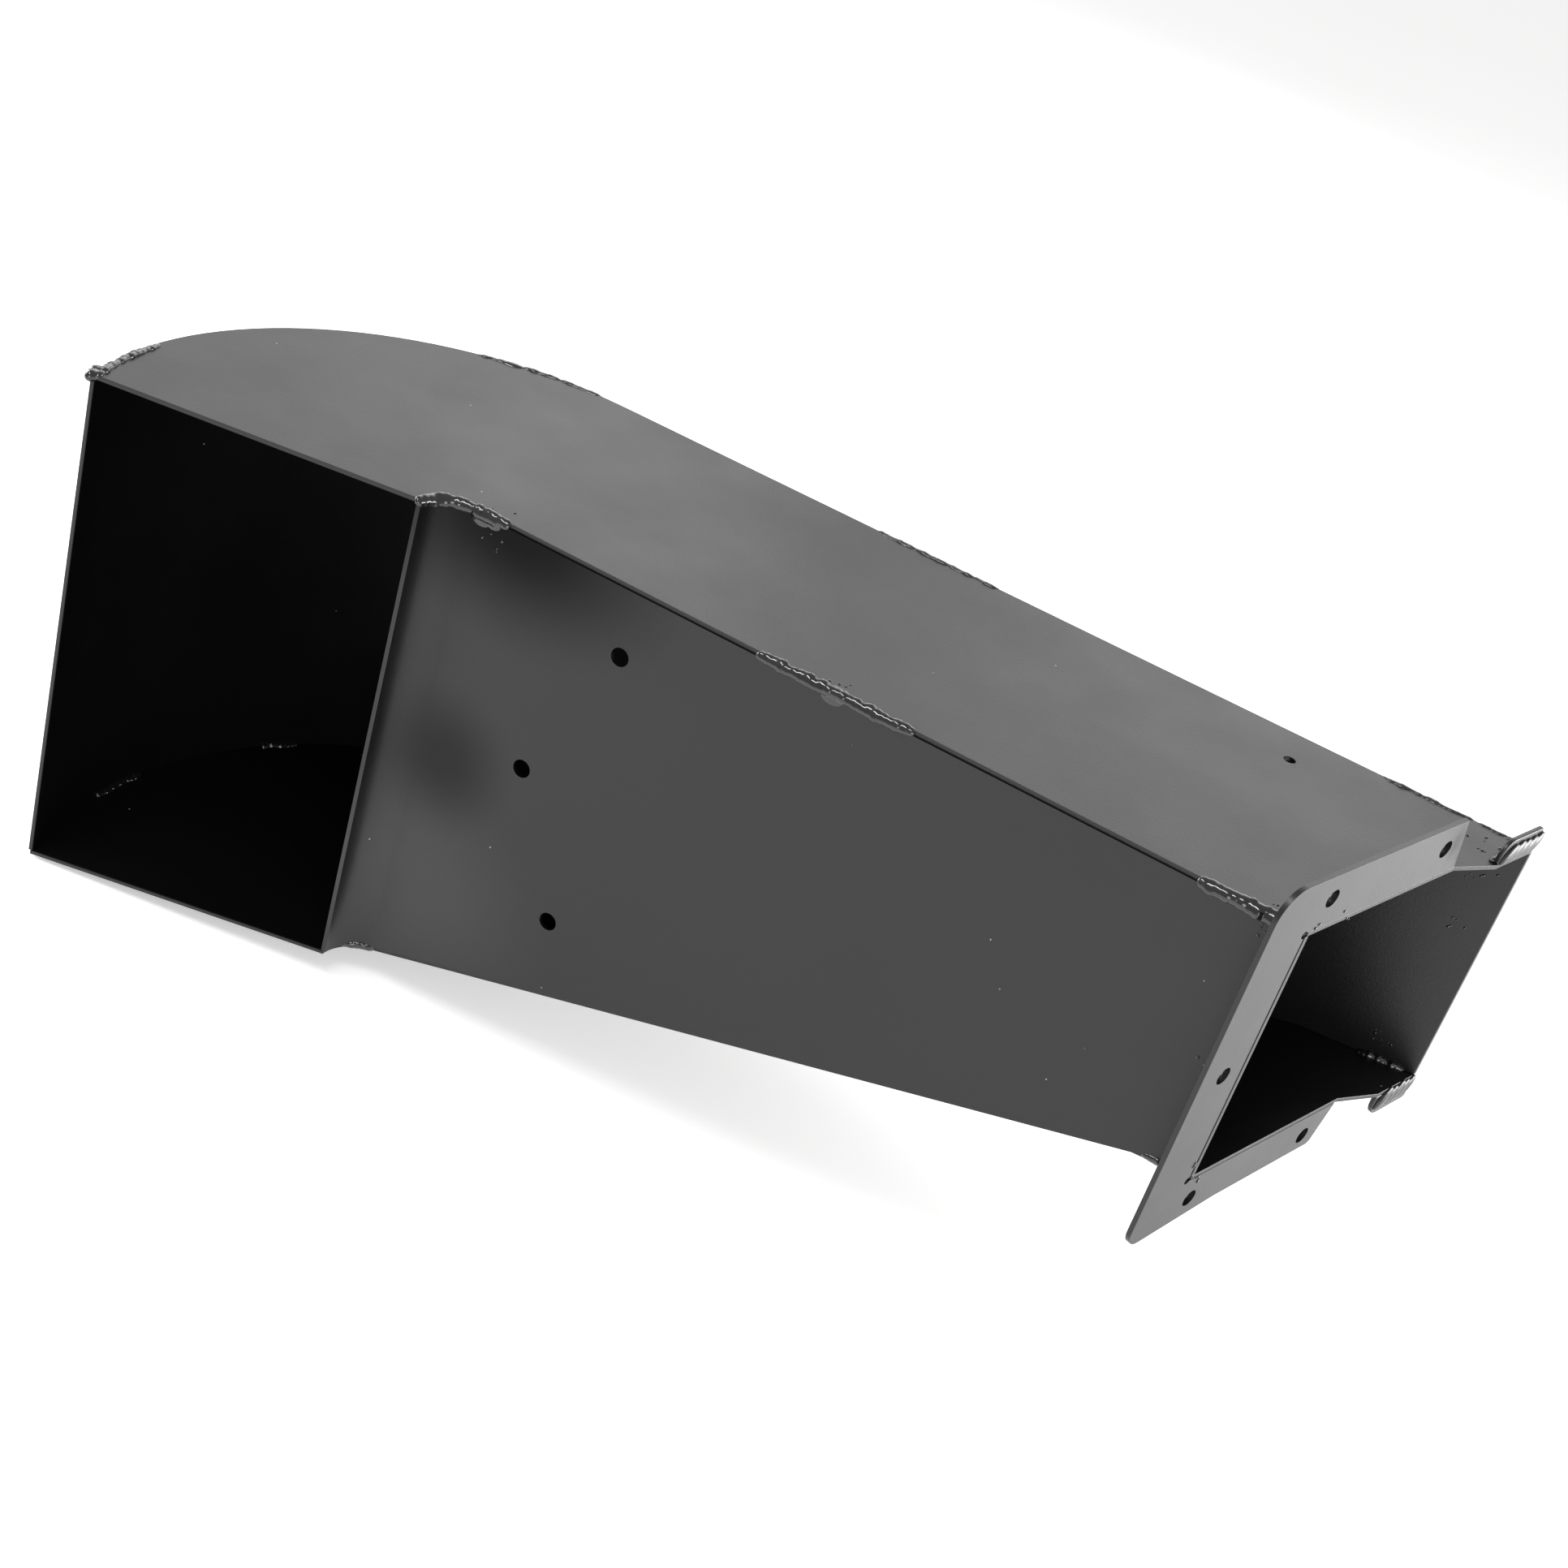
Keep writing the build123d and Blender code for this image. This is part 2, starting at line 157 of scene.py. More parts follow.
def apply_modifier(piece, name, kind, **settings):
    """Adds one modifier to the active piece, sets it and applies it."""
    modifier = piece.modifiers.new(name, kind)
    for key, value in settings.items():
        setattr(modifier, key, value)
    bpy.ops.object.modifier_apply(modifier=modifier.name)


def finished_sheet(node, name, edge_mm, coat):
    """A copy of a CAD node with its flats closed up and its cut edges softened by the coat."""
    bpy.ops.object.select_all(action="DESELECT")
    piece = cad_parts[node].copy()
    piece.data = piece.data.copy()
    piece.name = name
    bpy.context.scene.collection.objects.link(piece)
    piece.parent = None
    piece.matrix_world = Matrix.Identity(4)
    bpy.context.view_layer.objects.active = piece
    piece.select_set(True)
    bpy.ops.object.mode_set(mode="EDIT")
    bpy.ops.mesh.select_all(action="SELECT")
    bpy.ops.mesh.remove_doubles(threshold=0.01 * MM)
    bpy.ops.mesh.dissolve_limited(angle_limit=math.radians(0.4))
    bpy.ops.object.mode_set(mode="OBJECT")
    apply_modifier(piece, "softened edge", "BEVEL", width=edge_mm * MM,
                   segments=2 if edge_mm == SHEET_EDGE else 3, limit_method="ANGLE",
                   angle_limit=math.radians(35))
    bpy.ops.object.shade_smooth_by_angle(angle=math.radians(40))
    apply_modifier(piece, "flat faces stay flat", "WEIGHTED_NORMAL", keep_sharp=True)
    piece.data.materials.clear()
    piece.data.materials.append(coat)
    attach(piece, "root")
    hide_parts(node)
    piece.select_set(False)
    return piece


plate_coat = powder_coat("black powder coat on flat sheet", "#0b0b0c", "#0f0f10",
                         0.36, 0.42, 1.5, 0.075)
top_plate = finished_sheet("top_plate", "coated_top_plate", SHEET_EDGE, plate_coat)


# ---- Bottom plate ----
# The same sheet with two shallow bends: it drops away from the inlet, rises
# along the run and levels out just before the outlet.

bottom_plate = finished_sheet("bottom_plate", "coated_bottom_plate", SHEET_EDGE, plate_coat)


# ---- Near side wall ----
# Flat sheet whose inlet end is rolled outwards into a lip, with three bolt
# holes. Beside the lip its coat carries two patches of painted shade, darker
# reflections, and at its foot one patch of painted highlight, a brighter reflection.

# painted reflections on the near wall: two patches of painted shade, one of painted highlight
# (strength below 0)
rolled_coat = powder_coat("black powder coat on side wall", "#090909", "#0c0c0d",
                          0.33, 0.39, 1.5, 0.06,
                          painted_reflection_patches=[((-0.4410, -0.2039, 0.0800), (0.125, 0.05, 0.078), 0.85),
                                   ((-0.4520, -0.2075, -0.0745), (0.052, 0.05, 0.056), 0.5),
                                   ((-0.4600, -0.2100, -0.1650), (0.11, 0.1, 0.09), -0.45)])
near_side_wall = finished_sheet("near_side_wall", "coated_near_side_wall", SHEET_EDGE,
                                rolled_coat)


# ---- Far side wall ----
# The long wall that makes the quarter bend behind the inlet and then runs
# straight to the outlet, where it stands past the flange.

wall_coat = powder_coat("black powder coat on curved wall", "#090909", "#0c0c0d",
                        0.34, 0.40, 1.5, 0.06)
far_side_wall = finished_sheet("far_side_wall", "coated_far_side_wall", SHEET_EDGE, wall_coat)


# ---- Inside of the duct ----
# The faces that look into the duct take a darker coat that loses its specular
# reflection round the bend: painted shade, quite black away from the outlet.

painted_shade_inside_coat = powder_coat("black powder coat with painted shade inside duct", "#070707", "#090909",
                          0.34, 0.40, 1.5, 0.06,
                          painted_reflection_patches=[((-0.46, -0.16, -0.06), (0.52, 0.8, 0.8), 0.95)])
MIDDLE_LINE = [Vector(spot) for spot in ((-0.54, -0.20, -0.06), (-0.42, -0.11, -0.05),
                                         (-0.22, -0.03, -0.01), (-0.04, 0.02, 0.0))]
# the faces that look into the duct take the coat of painted shade
for sheet in (top_plate, bottom_plate, near_side_wall, far_side_wall):
    sheet.data.materials.append(painted_shade_inside_coat)
    for face in sheet.data.polygons:
        nearest = min(MIDDLE_LINE, key=lambda spot: (spot - face.center).length)
        if face.normal.dot(nearest - face.center) > 0:
            face.material_index = 1


# ---- Outlet flange ----
# Flame-cut plate with a four-sided opening, four corner bolt holes and one
# more beside the opening. Its faces are smoother than the sheet.

PLATE_EDGE = 0.9
# one small patch of painted shade high on the flange, near its outer top bolt hole, where the
# specular level is lowered
flange_coat = powder_coat("black powder coat on cut plate", "#101011", "#141415",
                          0.32, 0.38, 1.8, 0.045,
                          painted_reflection_patches=[((-0.001, 0.063, 0.098), (0.02, 0.007, 0.017), 0.45)])
finished_sheet("outlet_flange", "coated_outlet_flange", PLATE_EDGE, flange_coat)


# ---- Outlet tabs ----
# Two short pieces of the flange's plate at the far corners of the outlet,
# each built up with weld metal on its front.

finished_sheet("upper_outlet_tab", "coated_upper_outlet_tab", PLATE_EDGE, flange_coat)
finished_sheet("lower_outlet_tab", "coated_lower_outlet_tab", PLATE_EDGE, flange_coat)


# ---- Stitch welds on the outside seams ----
# Short beads laid over the plates' edges, one puddle after another, so the
# metal stands in soft ripples. The powder pools on them and bakes glossy.

TURN = Matrix.Rotation(DUCT_TURN, 4, "Z")
DATUM = Vector((480.352, 61.004, -79.75))  # the frame's origin, in the duct's own mm
WIDTH = 198.5
LIP_AT, LIP_R = (-31.0, -20.0), 20.0
BEND_AT, BEND_R = (-55.0, 0.5), 198.0
ALONG, ACROSS, UP = Vector((1, 0, 0)), Vector((0, 1, 0)), Vector((0, 0, 1))
NEAR_OUT = (UP - ACROSS).normalized()
FAR_OUT = (UP + ACROSS).normalized()
SEAM_IN, SEAM_DOWN = 1.5, 2.2  # a bead's middle, from the wall's face and the top's
LIP_SEAM, BEND_SEAM = LIP_R + SEAM_IN, BEND_R - SEAM_IN


def in_frame(point):
    """A point given in mm along, across and up the duct, as metres in the shared frame."""
    return TURN @ ((Vector(point) - DATUM) * MM)


def low(x, y):
    """Height of the bottom plate's lower face at a place in the duct's plan, in mm."""
    inlet = 304.26 - 0.0455 * x - 0.0975 * y
    run = 294.5 - 0.306 * x + 0.08 * y
    outlet = 203.8 - 0.094 * x + 0.0418 * y
    return -max(min(inlet, run), outlet)


def weld_coat(name, shade, thin_shade, gloss):
    """The same powder where it pooled on weld metal: almost black and wet-looking."""
    coat, shader = new_material(name)
    shader.inputs["IOR"].default_value = COAT_IOR
    shader.inputs["Coat Weight"].default_value = 0.6
    shader.inputs["Coat Roughness"].default_value = 0.06
    place = add_node(coat, "ShaderNodeTexCoord").outputs["Object"]
    cloud = add_node(coat, "ShaderNodeTexNoise", {"Scale": 1 / (6 * MM), "Detail": 3.0},
                     {"Vector": place})
    tone = add_node(coat, "ShaderNodeMix",
                    {"data_type": "RGBA", 6: linear(shade), 7: linear(thin_shade)},
                    {0: cloud.outputs["Fac"]})
    sheen = add_node(coat, "ShaderNodeMapRange",
                     {"From Min": 0.3, "From Max": 0.7, "To Min": gloss, "To Max": gloss + 0.12},
                     {"Value": cloud.outputs["Fac"]})
    pits = add_node(coat, "ShaderNodeTexNoise", {"Scale": 1 / (1.4 * MM), "Detail": 2.0},
                    {"Vector": place})
    bump = add_node(coat, "ShaderNodeBump", {"Strength": 1.0, "Distance": 0.02 * MM},
                    {"Height": pits.outputs["Fac"]})
    connect(coat, shader, {"Base Color": tone.outputs[2], "Roughness": sheen.outputs[0],
                           "Normal": bump.outputs[0]})
    return coat


bead_coat = weld_coat("black powder coat pooled on weld", "#0c0c0d", "#161617", 0.12)

# one puddle is a drop pulled out a little on its trailing side
bpy.ops.mesh.primitive_uv_sphere_add(segments=16, ring_count=10, radius=1.0)
puddle = bpy.context.object
puddle.name = "puddle_pattern"
for vertex in puddle.data.vertices:
    vertex.select = vertex.co.x < -0.3
bpy.ops.object.mode_set(mode="EDIT")
bpy.ops.transform.resize(value=(1.25, 0.9, 0.9))
bpy.ops.object.mode_set(mode="OBJECT")
puddle.select_set(False)


def weld_bead(name, drops, coat, node=None, voxel=0.5, smooth=14):
    """Melts a row of puddles into one bead. A drop is its centre, its axes along, across
    and out of the bead, and its three radii, all in the duct's mm."""
    bpy.ops.object.select_all(action="DESELECT")
    made = []
    for centre, along, across, out, radii in drops:
        drop = puddle.copy()
        drop.data = puddle.data.copy()
        bpy.context.scene.collection.objects.link(drop)
        axes = [TURN.to_3x3() @ axis.normalized() for axis in (along, across, out)]
        spread = Matrix([[axes[c][r] * radii[c] * MM for c in range(3)] for r in range(3)])
        drop.matrix_world = Matrix.Translation(in_frame(centre)) @ spread.to_4x4()
        made.append(drop)
    for drop in made:
        drop.select_set(True)
    bead = made[0]
    bpy.context.view_layer.objects.active = bead
    if len(made) > 1:
        bpy.ops.object.join()
    bpy.ops.object.transform_apply(location=True, rotation=True, scale=True)
    bead.name = name
    apply_modifier(bead, "melted together", "REMESH", mode="VOXEL", voxel_size=voxel * MM)
    apply_modifier(bead, "surface tension", "SMOOTH", factor=0.5, iterations=smooth)
    bpy.ops.object.shade_smooth()
    bead.data.materials.clear()
    bead.data.materials.append(coat)
    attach(bead, "root")
    if node:
        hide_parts(node)
    bead.select_set(False)


def puddles(place, length, pitch, radii, wander, seed):
    """A row of puddles. place(distance) gives a point, the direction along, the direction
    across and the direction out. The two end puddles are smaller."""
    random.seed(seed)
    count = max(2, round(length / pitch))
    row = []
    for i in range(count + 1):
        point, along, across, out = place(length * i / count)
        end = 0.78 if i in (0, count) else 1.0
        size = [r * end * random.uniform(0.86, 1.14) for r in radii]
        point = (point + across * random.uniform(-wander, wander)
                 + out * random.uniform(-wander, wander) * 0.5)
        row.append((point, along, across, out, size))
    return row


def near_seam(x0):
    """Along the top edge of the near wall."""
    return lambda s: (Vector((x0 + s, SEAM_IN, -SEAM_DOWN)), ALONG, FAR_OUT, NEAR_OUT)


def far_seam(x0):
    """Along the top edge of the far wall's straight part."""
    return lambda s: (Vector((x0 + s, WIDTH - SEAM_IN, -SEAM_DOWN)), ALONG, NEAR_OUT, FAR_OUT)


def around(centre, radius, first, outwards, z=-SEAM_DOWN):
    """Along a curved seam, from first degrees on. outwards is 1 on the bend, -1 on the lip."""
    def place(s):
        a = math.radians(first) + s / radius
        ray = Vector((math.cos(a), math.sin(a), 0))
        side = ray * outwards
        return (Vector((centre[0], centre[1], z)) + ray * radius, UP.cross(ray),
                (UP - side).normalized(), (UP + side).normalized())
    return place


def arc_length(radius, degrees):
    """Length of an arc."""
    return radius * math.radians(degrees)


def wall_foot(x0):
    """Along the bottom edge of the near wall."""
    def place(s):
        x = x0 + s
        fall = Vector((1, 0, low(x + 1, 0) - low(x, 0))).normalized()
        return Vector((x, 1.4, low(x, 0) + 2.0)), fall, -NEAR_OUT, -FAR_OUT
    return place


def under_lip(s):
    """Along the bottom edge of the near wall's lip."""
    point, along, _, _ = around(LIP_AT, LIP_SEAM, 94, -1, 0)(s)
    point.z = low(point.x, point.y) + 2.0
    ray = (point - Vector((LIP_AT[0], LIP_AT[1], point.z))).normalized()
    return point, along, (UP - ray).normalized(), (-UP - ray).normalized()


BEAD = (3.8, 4.2, 3.0)
FOOT_BEAD = (3.5, 3.6, 2.8)

roll = puddles(around(LIP_AT, LIP_SEAM, 88, -1), arc_length(LIP_SEAM, 88), 3.2,
               (3.9, 4.4, 3.2), 0.4, 3)
straight = puddles(near_seam(-31.0), 21.0, 3.2, (3.9, 4.4, 3.1), 0.4, 4)
sag = [(Vector((-25.0, 0.4, -6.0)), ALONG, UP, -ACROSS, (5.5, 4.5, 1.1)),
       (Vector((-17.0, 0.3, -5.0)), ALONG, UP, -ACROSS, (4.5, 4.0, 1.2))]
weld_bead("bead_top_near_inlet", roll + straight + sag, bead_coat, "weld_top_near_inlet")

middle = puddles(near_seam(152.0), 89.0, 4.0, BEAD, 0.45, 11)
sag = [(Vector((196.0, 0.5, -5.5)), ALONG, UP, -ACROSS, (6.0, 4.0, 1.1)),
       (Vector((196.5, 3.6, 0.0)), ALONG, ACROSS, UP, (5.5, 3.5, 1.0))]
weld_bead("bead_top_near_middle", middle + sag, bead_coat, "weld_top_near_middle")

outlet = puddles(near_seam(406.0), 50.5, 4.2, (4.0, 4.7, 3.4), 0.4, 17)
weld_bead("bead_top_near_outlet", outlet, bead_coat, "weld_top_near_outlet")

corner = [(Vector((-244.6, -56.5, -1.2)), ACROSS, ALONG, UP, (4.4, 4.2, 3.9)),
          (Vector((-242.6, -61.5, -1.6)), ACROSS, ALONG, UP, (4.0, 3.8, 4.0))]
CORNER_SEAM = BEND_R - 2.8
bend = puddles(around(BEND_AT, CORNER_SEAM, 181, 1, -2.0), arc_length(CORNER_SEAM, 16.5), 4.6,
               (5.2, 5.6, 3.5), 0.3, 23)
weld_bead("bead_top_far_inlet", bend + corner, bead_coat, "weld_top_far_inlet")

bend = puddles(around(BEND_AT, BEND_SEAM, 95, 1), arc_length(BEND_SEAM, 23), 3.4, BEAD, 0.4, 29)
blob = [(Vector((-128.0, 181.0, -1.2)), Vector((1, 0.4, 0)), Vector((-0.4, 1, 0)), UP,
         (7.0, 4.0, 3.0))]
weld_bead("bead_top_far_arc", bend + blob, bead_coat, "weld_top_far_arc")

weld_bead("bead_top_far_middle", puddles(far_seam(124.0), 80.0, 3.2, BEAD, 0.4, 31), bead_coat,
          "weld_top_far_middle")
weld_bead("bead_top_far_outlet", puddles(far_seam(448.0), 52.0, 3.2, BEAD, 0.45, 37), bead_coat,
          "weld_top_far_outlet")
weld_bead("bead_top_far_ear", puddles(far_seam(502.0), 22.0, 3.2, (3.6, 3.8, 2.7), 0.3, 41),
          bead_coat, "weld_top_far_ear")

lip = puddles(under_lip, arc_length(LIP_SEAM, 42), 3.0, FOOT_BEAD, 0.3, 43)
weld_bead("bead_bottom_near_inlet", lip, bead_coat, "weld_bottom_near_inlet")
foot = puddles(wall_foot(436.0), 18.5, 3.0, FOOT_BEAD, 0.3, 47)
weld_bead("bead_bottom_near_outlet", foot, bead_coat, "weld_bottom_near_outlet")


# ---- Welds inside the duct ----
# Three short beads along the bottom seam of the far wall, laid from the
# inside where the torch could reach.

FACE_IN, PLATE_UP = 3.2, 3.4  # a bead's middle, from the wall's outer and the plate's lower face
INSIDE_BEAD = (2.4, 3.2, 2.2)


def bend_seam(first):
    """Along the bottom of the bend, from first degrees towards the run."""
    def place(s):
        a = math.radians(first) - s / (BEND_R - 3)
        ray = Vector((math.cos(a), math.sin(a), 0))
        point = Vector((BEND_AT[0], BEND_AT[1], 0)) + ray * (BEND_R - FACE_IN)
        point.z = low(point.x, point.y) + PLATE_UP
        return point, ray.cross(UP), (UP + ray).normalized(), (UP - ray).normalized()
    return place


def outlet_seam(s):
    """Along the bottom of the far wall at the outlet."""
    x, y = 501.0 + s, WIDTH - FACE_IN
    fall = Vector((1, 0, low(x + 1, y) - low(x, y))).normalized()
    return Vector((x, y, low(x, y) + PLATE_UP)), fall, FAR_OUT, NEAR_OUT


arc = puddles(bend_seam(178.5), arc_length(BEND_R, 9.5), 3.0, INSIDE_BEAD, 0.5, 53)
weld_bead("bead_inside_inlet_arc", arc, bead_coat, "weld_inside_inlet_arc")
arc = puddles(bend_seam(143.0), arc_length(BEND_R, 6), 3.0, INSIDE_BEAD, 0.5, 59)
weld_bead("bead_inside_back_arc", arc, bead_coat, "weld_inside_back_arc")
end = puddles(outlet_seam, 25.0, 2.9, (2.2, 3.2, 2.4), 0.6, 61)
weld_bead("bead_inside_outlet", end, bead_coat, "weld_inside_outlet")


# ---- Welds at the flange and tabs ----
# Fillets behind the flange hold it to the wall and the top plate. The tabs
# carry wide weaves on their faces, where the weld closes them to the duct.

FLANGE_TURN = math.radians(72.4)
FLANGE_AT = Vector((461.0, 0, 0))
FLANGE_ALONG = Vector((math.cos(FLANGE_TURN), math.sin(FLANGE_TURN), 0))
FLANGE_OUT = Vector((math.sin(FLANGE_TURN), -math.cos(FLANGE_TURN), 0))
SIDE_BEAD = (2.6, 4.4, 3.6)
TAB_BEAD = (3.6, 3.6, 2.9)
WEAVE = {"voxel": 0.4, "smooth": 5}


def on_flange(u, v, n):
    """A point u along the flange from the near wall, v up and n out from its face."""
    return FLANGE_AT + FLANGE_ALONG * u + FLANGE_OUT * n + UP * v


def behind_side(v0):
    """Down the corner between the near wall and the flange's back."""
    back = (-FLANGE_ALONG - ALONG).normalized()
    return lambda s: (Vector((454.5, -1.6, v0 - s)), -UP, UP.cross(back), back)


def over_top(first, n):
    """Along the top plate, n out from the flange's face."""
    return lambda s: (on_flange(first + s, 0.6, n), FLANGE_ALONG,
                      (UP + FLANGE_OUT).normalized(), (UP - FLANGE_OUT).normalized())


def behind_lower_tab(s):
    """Along the bottom plate, behind the lower tab."""
    point = on_flange(172.0 + s, 0, 6.3)
    point.z = low(point.x, point.y) - 0.6
    return point, FLANGE_ALONG, (-UP + FLANGE_OUT).normalized(), (-UP - FLANGE_OUT).normalized()


def weave(first, pitch, height, lean, seed):
    """Five wide puddles across a tab's face, each leaning the same way."""
    random.seed(seed)
    along = (FLANGE_ALONG * 0.8 + UP * lean).normalized()
    across = FLANGE_OUT.cross(along).normalized()
    row = []
    for i in range(5):
        point = on_flange(first + pitch * i, 0, 10.3)
        point.z = height(point)
        row.append((point, along, across, FLANGE_OUT,
                    (7.0 * random.uniform(0.9, 1.1), 4.3 * random.uniform(0.9, 1.1), 2.2)))
    return row


side = puddles(behind_side(-66.0), 14.0, 2.8, SIDE_BEAD, 0.3, 67)
weld_bead("bead_flange_side_upper", side, bead_coat, "weld_flange_side_upper")
side = puddles(behind_side(-100.0), 12.0, 2.8, SIDE_BEAD, 0.3, 71)
weld_bead("bead_flange_side_lower", side, bead_coat, "weld_flange_side_lower")
strip = puddles(over_top(118.0, -3.7), 16.0, 2.8, (2.4, 3.2, 2.6), 0.3, 73)
weld_bead("bead_flange_top", strip, bead_coat, "weld_flange_top")
upper = puddles(over_top(172.0, 6.3), 35.0, 3.6, TAB_BEAD, 0.4, 79)
weld_bead("bead_upper_tab", upper, bead_coat, "weld_upper_tab")
upper = weave(178.0, 6.8, lambda point: 5.2, 0.6, 80)
weld_bead("weave_upper_tab", upper, flange_coat, **WEAVE)
lower = puddles(behind_lower_tab, 35.0, 3.6, TAB_BEAD, 0.4, 83)
weld_bead("bead_lower_tab", lower, bead_coat, "weld_lower_tab")
lower = weave(179.0, 6.4, lambda point: low(point.x, point.y) - 3.6, 0.75, 84)
weld_bead("weave_lower_tab", lower, flange_coat, **WEAVE)


# ---- Coat pooled behind the bolt holes ----
# The powder has run and pooled in a rough ring on the flange's back round
# each hole. Seen at a slant, the hole then looks deep, dark and wet.

HOLES = [("inner_top", 10.0, 17.5), ("outer_top", 118.0, 17.5), ("inner_low", 10.0, -177.0),
         ("outer_low", 118.0, -177.0), ("side", -18.0, -83.5)]
lumps = bpy.data.textures.new("pooled coat", "CLOUDS")
lumps.noise_scale = 2.5 * MM
for hole, u, v in HOLES:
    bpy.ops.object.select_all(action="DESELECT")
    centre = in_frame(on_flange(u, v, -4.9))
    bpy.ops.mesh.primitive_torus_add(major_segments=40, minor_segments=14,
                                     major_radius=6.8 * MM, minor_radius=1.7 * MM,
                                     location=centre, rotation=(0, math.radians(90), 0))
    ring = bpy.context.object
    ring.name = "pooled_ring_" + hole
    bpy.ops.object.mode_set(mode="EDIT")
    bpy.ops.mesh.select_all(action="SELECT")
    bpy.ops.transform.resize(value=(1.5, 1.0, 1.0), center_override=centre)
    bpy.ops.object.mode_set(mode="OBJECT")
    bpy.ops.object.transform_apply(location=True, rotation=True, scale=True)
    apply_modifier(ring, "uneven coat", "DISPLACE", texture=lumps, texture_coords="GLOBAL",
                   strength=0.9 * MM, mid_level=0.5)
    bpy.ops.object.shade_smooth()
    ring.data.materials.append(bead_coat)
    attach(ring, "root")
    ring.select_set(False)


# ---- Weld spatter ----
# Small balls of metal thrown from the torch, stuck to the sheet near the
# welds and coated over. Most of them are inside the outlet's far corner.


def spatter(name, spots, seed):
    """Scatters balls over flat spots, each a centre, two half widths, a count and the
    direction out of the sheet."""
    random.seed(seed)
    drops = []
    for centre, spread, count, out in spots:
        side = out.orthogonal().normalized()
        other = out.cross(side).normalized()
        for _ in range(count):
            r = random.uniform(0.45, 0.95)
            point = (Vector(centre) + side * random.uniform(-spread[0], spread[0])
                     + other * random.uniform(-spread[1], spread[1]))
            drops.append((point, side, other, out, (r, r, r * 0.7)))
    weld_bead(name, drops, bead_coat, voxel=0.25, smooth=1)


OUTWARDS = -ACROSS
FAR_FACE = WIDTH - 2.6
spatter("spatter_outside", [((196.0, 8.0, 0.1), (9.0, 4.0), 9, UP),
                            ((-20.0, 8.0, 0.1), (12.0, 4.0), 8, UP),
                            ((444.0, 9.0, 0.1), (7.0, 4.0), 6, UP),
                            ((512.0, 176.0, 0.1), (9.0, 9.0), 8, UP),
                            ((-14.0, -0.1, -12.0), (9.0, 9.0), 8, OUTWARDS),
                            ((214.4, -0.1, -23.6), (0.2, 0.2), 1, OUTWARDS),
                            ((440.0, -0.1, -10.0), (7.0, 7.0), 6, OUTWARDS),
                            ((446.0, -0.1, -92.0), (6.0, 6.0), 7, OUTWARDS),
                            (on_flange(8.0, 1.6, 0.1), (2.0, 1.0), 3, FLANGE_OUT),
                            (on_flange(34.0, 1.4, 0.1), (1.0, 9.0), 3, FLANGE_OUT),
                            (on_flange(-2.6, -148.0, 0.1), (3.0, 1.0), 3, FLANGE_OUT),
                            (on_flange(8.0, -163.0, 0.1), (1.5, 6.0), 4, FLANGE_OUT)], 101)
spatter("spatter_inside", [((514.0, FAR_FACE, -24.0), (10.0, 10.0), 18, OUTWARDS),
                           ((518.0, FAR_FACE, -58.0), (8.0, 8.0), 6, OUTWARDS),
                           ((508.0, FAR_FACE, -146.0), (8.0, 8.0), 9, OUTWARDS)], 103)
bpy.data.objects.remove(puddle)


# ---- Floor ----
# A white sweep that is lit a little from below, as a light table is, so that
# it stays pale under the duct.

FLOOR_GAP = 0.002
bpy.ops.mesh.primitive_plane_add(size=16.0, location=(-1.0, 2.0, cad_box[0].z - FLOOR_GAP))
floor = bpy.context.object
floor.name = "white_sweep"
sweep, paper = new_material("white sweep")
paper.inputs["Roughness"].default_value = 0.9
paper.inputs["Specular IOR Level"].default_value = 0.1
paper.inputs["Emission Color"].default_value = (1, 1, 1, 1)
paper.inputs["Emission Strength"].default_value = 0.37
spread = add_node(sweep, "ShaderNodeTexCoord").outputs["Object"]
fibre = add_node(sweep, "ShaderNodeTexNoise", {"Scale": 1.9, "Detail": 4.0}, {"Vector": spread})
white = add_node(sweep, "ShaderNodeMix",
                 {"data_type": "RGBA", 6: linear("#f4f4f3"), 7: linear("#f8f8f8")},
                 {0: fibre.outputs["Fac"]})
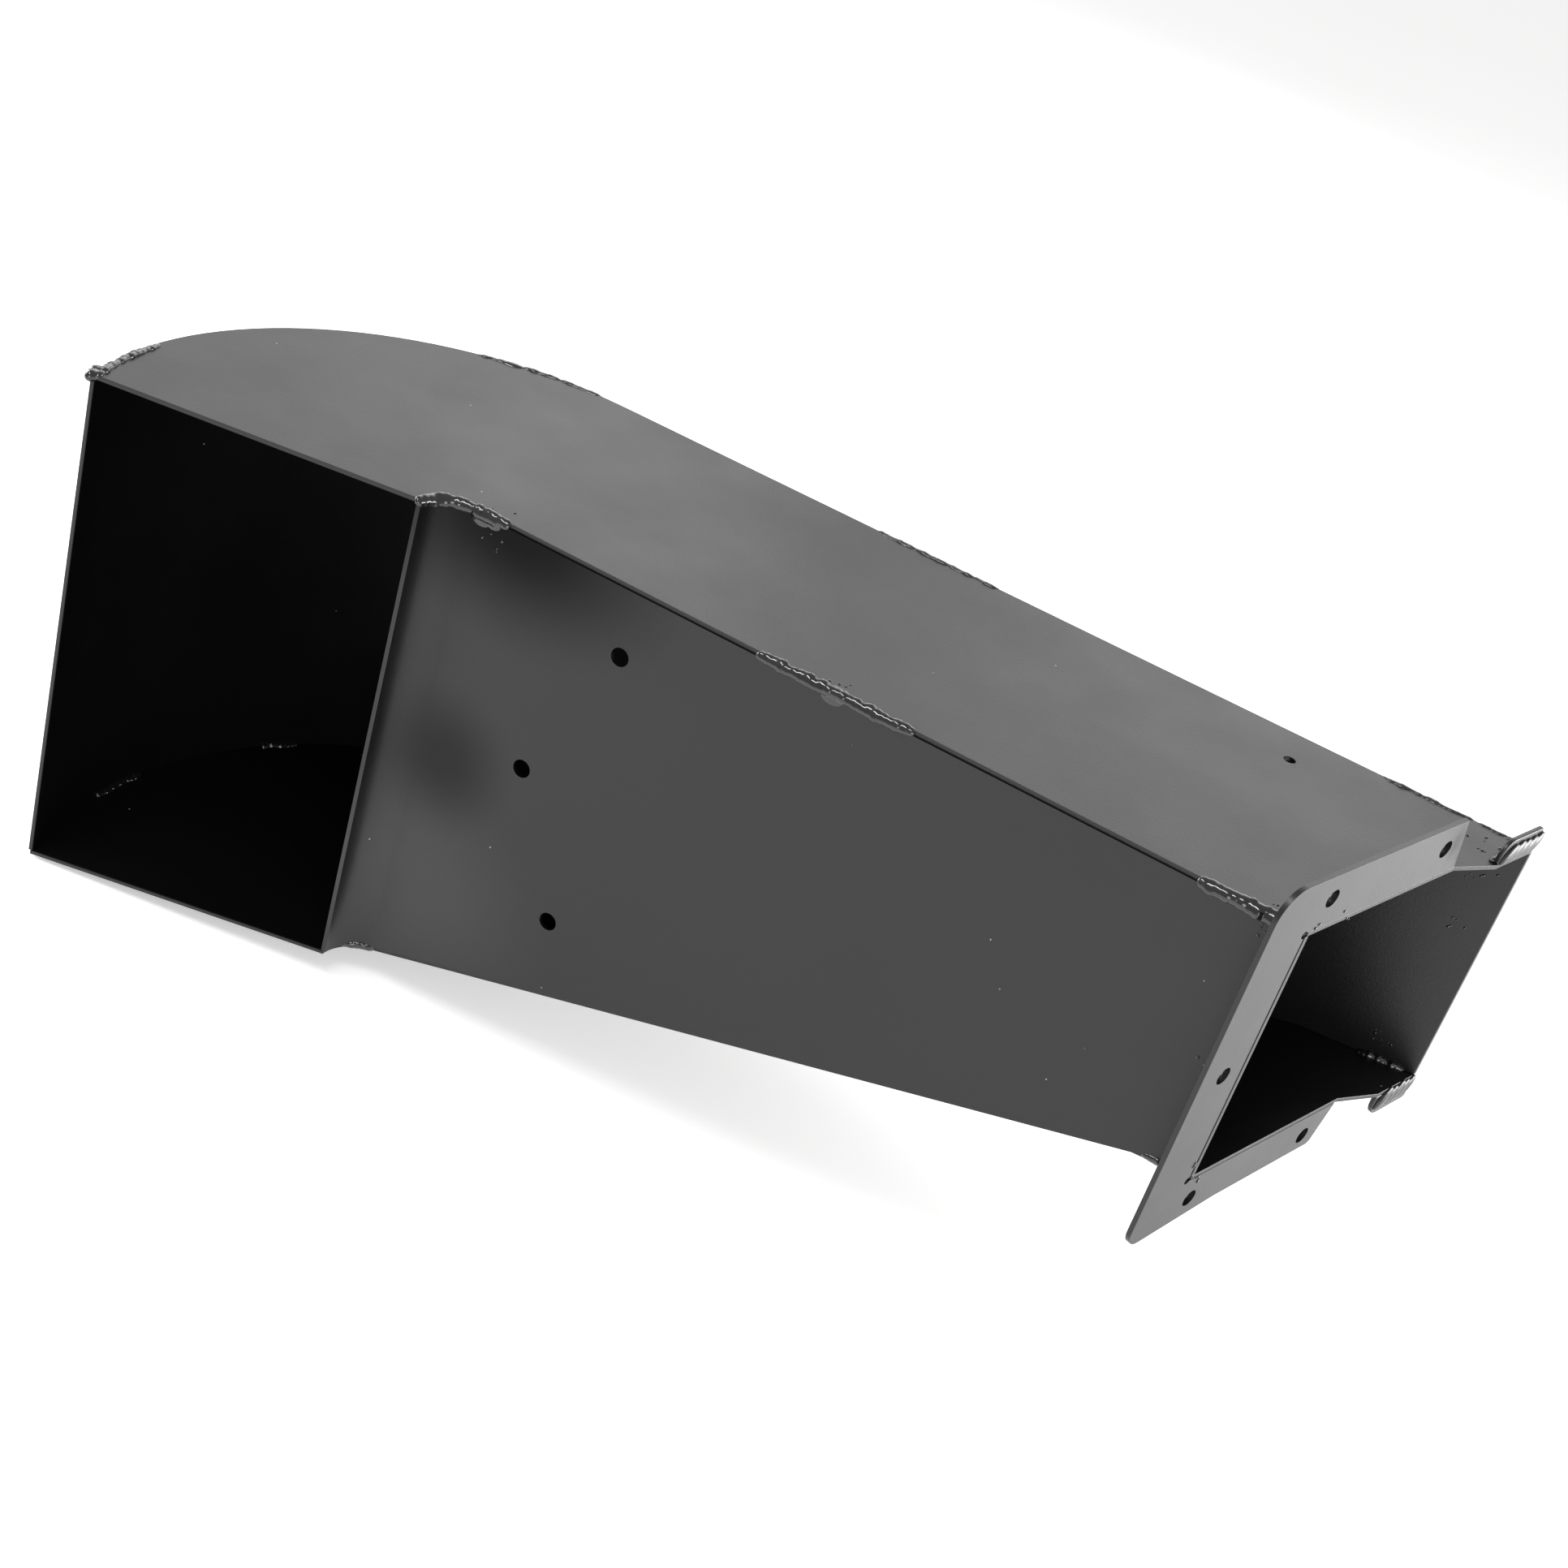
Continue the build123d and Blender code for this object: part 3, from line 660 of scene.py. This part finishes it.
connect(sweep, paper, {"Base Color": white.outputs[2]})
floor.data.materials.append(sweep)


# ---- Light ----
# Pale surroundings with large soft boxes: three behind and above for the top
# plate, a low one at the outlet for the flange, and one on either side. A
# narrow strip above draws the bright lines along the beads and the edges.

world = bpy.data.worlds.new("white studio")
bpy.context.scene.world = world
world.use_nodes = True
surroundings = world.node_tree.nodes["Background"]
surroundings.inputs["Color"].default_value = (1, 1, 1, 1)
surroundings.inputs["Strength"].default_value = 0.55
AIM = Vector((-0.3, -0.1, 0.0))


def soft_box(name, place, size, power):
    """A rectangular soft box, turned towards the middle of the duct."""
    bpy.ops.object.light_add(type="AREA", location=place)
    box = bpy.context.object
    box.name = name
    box.data.shape = "RECTANGLE"
    box.data.size, box.data.size_y = size
    box.data.energy = power
    box.rotation_euler = (AIM - Vector(place)).to_track_quat("-Z", "Y").to_euler()


soft_box("overhead_back", (-1.4, 1.6, 1.7), (1.8, 1.4), 10.5)
soft_box("left_back", (-2.3, 1.2, 1.2), (1.5, 1.2), 8.2)
soft_box("back", (-0.6, 2.6, 1.0), (2.5, 1.2), 13.5)
soft_box("outlet_side", (1.2, 1.3, 0.15), (1.2, 0.8), 46.0)
soft_box("front_right", (1.6, -1.8, 0.6), (1.4, 1.2), 23.0)
soft_box("strip_above", (-0.5, -0.9, 1.7), (1.4, 0.12), 16.0)
soft_box("left", (-2.4, -0.6, 0.8), (1.5, 1.2), 34.0)


# ---- Camera ----
# Above and in front of the outlet end, looking along and down the near wall.

bpy.ops.object.camera_add(location=(0.3803, -1.0073, 0.6398))
camera = bpy.context.object
camera.name = "studio_camera"
right, up = Vector((0.66930, 0.69348, 0.26668)), Vector((-0.53300, 0.19808, 0.82260))
camera.rotation_euler = Matrix([right, up, right.cross(up)]).transposed().to_euler()
camera.data.lens = 54.35
camera.data.sensor_width = 36.0
camera.data.clip_start = 0.02
camera.data.clip_end = 60.0
bpy.context.scene.camera = camera
bpy.context.scene.view_settings.view_transform = "Standard"
